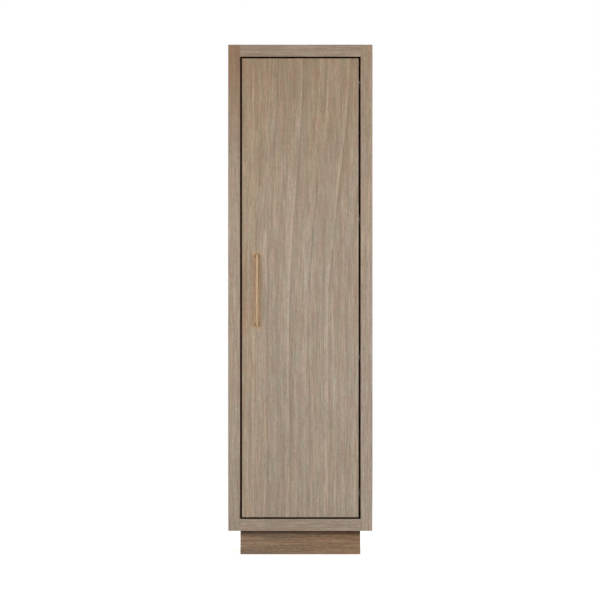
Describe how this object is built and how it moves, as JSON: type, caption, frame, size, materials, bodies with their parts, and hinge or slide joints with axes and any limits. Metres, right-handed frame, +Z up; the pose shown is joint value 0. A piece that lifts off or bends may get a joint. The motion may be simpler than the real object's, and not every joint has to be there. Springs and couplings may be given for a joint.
{
  "type": "tall storage cabinet",
  "caption": "Tall narrow storage cabinet with a framed case on a recessed plinth, an inset flush door with a vertical bar pull, and loose shelves inside.",
  "frame": {"origin": "centre of the bottom of the box around the cabinet, pull included, on the floor", "axes": "+X across the front to the right as seen from the front, +Y from the front into the cabinet, +Z up"},
  "size_m": [0.61, 0.565, 2.157],
  "materials": {
    "oak_veneer": "matte open-grain",
    "plinth_oak": "matte open-grain",
    "interior_oak": "matte",
    "block_pine": "sawn",
    "satin_brass": "satin",
    "nickel_steel": "satin nickel",
    "zinc_steel": "zinc plated",
    "bumper_rubber": "translucent grey"
  },
  "bodies": {
    "case": {"anchor_rail": "interior_oak", "back_panel": "interior_oak", "back_panel_screws": "zinc_steel", "bottom_panel": "interior_oak", "bumpers": "bumper_rubber", "door_stop": "interior_oak", "hinge_arm_1": "nickel_steel", "hinge_arm_2": "nickel_steel", "hinge_arm_3": "nickel_steel", "hinge_arm_4": "nickel_steel", "hinge_arm_pins": "zinc_steel", "hinge_clamp_screws": "zinc_steel", "hinge_plate_1": "nickel_steel", "hinge_plate_2": "nickel_steel", "hinge_plate_3": "nickel_steel", "hinge_plate_4": "nickel_steel", "hinge_plate_screws": "zinc_steel", "hinge_strip": "interior_oak", "plinth_corner_blocks": "block_pine", "plinth_front": "plinth_oak", "plinth_left": "plinth_oak", "plinth_rear": "plinth_oak", "plinth_right": "plinth_oak", "plinth_screws": "zinc_steel", "rail_bottom": "oak_veneer", "rail_top": "oak_veneer", "shelf_supports": "nickel_steel", "side_panel_left": "oak_veneer", "side_panel_right": "oak_veneer", "stile_left": "oak_veneer", "stile_right": "oak_veneer", "top_panel": "oak_veneer"},
    "carrier_links": {"carrier_links": "nickel_steel"},
    "door": {"door_lipping_bottom": "oak_veneer", "door_lipping_left": "oak_veneer", "door_lipping_right": "oak_veneer", "door_lipping_top": "oak_veneer", "door_panel": "oak_veneer", "hinge_cup_1": "nickel_steel", "hinge_cup_2": "nickel_steel", "hinge_cup_3": "nickel_steel", "hinge_cup_4": "nickel_steel", "hinge_cup_pins": "zinc_steel", "hinge_cup_screws": "zinc_steel", "pull_bar": "satin_brass", "pull_posts": "satin_brass", "pull_screws": "zinc_steel"},
    "strap_links": {"strap_links": "nickel_steel"},
    "shelf_1": {"shelf_1": "interior_oak"},
    "shelf_2": {"shelf_2": "interior_oak"},
    "shelf_3": {"shelf_3": "interior_oak"},
    "shelf_4": {"shelf_4": "interior_oak"},
    "shelf_5": {"shelf_5": "interior_oak"}
  },
  "joints": [
    {"name": "carrier_swing", "type": "hinge", "parent": "case", "child": "carrier_links", "pos_m": [0.21696, -0.20851, 1.1295], "axis": [0, 0, 1], "range_deg": [-23.5, 0]},
    {"name": "door_hinge", "type": "hinge", "parent": "carrier_links", "child": "door", "pos_m": [0.23589, -0.2326, 1.1295], "axis": [0, 0, 1], "range_deg": [0, 118.32]},
    {"name": "strap_swing", "type": "hinge", "parent": "case", "child": "strap_links", "pos_m": [0.20992, -0.22129, 1.1295], "axis": [0, 0, 1], "range_deg": [-6.5, 0]},
    {"name": "shelf_1_lift", "type": "slide", "parent": "case", "child": "shelf_1", "axis": [0, 0, 1], "range_m": [0, 0.032]},
    {"name": "shelf_2_lift", "type": "slide", "parent": "case", "child": "shelf_2", "axis": [0, 0, 1], "range_m": [0, 0.032]},
    {"name": "shelf_3_lift", "type": "slide", "parent": "case", "child": "shelf_3", "axis": [0, 0, 1], "range_m": [0, 0.032]},
    {"name": "shelf_4_lift", "type": "slide", "parent": "case", "child": "shelf_4", "axis": [0, 0, 1], "range_m": [0, 0.032]},
    {"name": "shelf_5_lift", "type": "slide", "parent": "case", "child": "shelf_5", "axis": [0, 0, 1], "range_m": [0, 0.032]}
  ],
  "couplings": [
    {"joint": "carrier_swing", "follows": "door_hinge", "ratio": -0.19708},
    {"joint": "strap_swing", "follows": "door_hinge", "ratio": -0.05371}
  ]
}
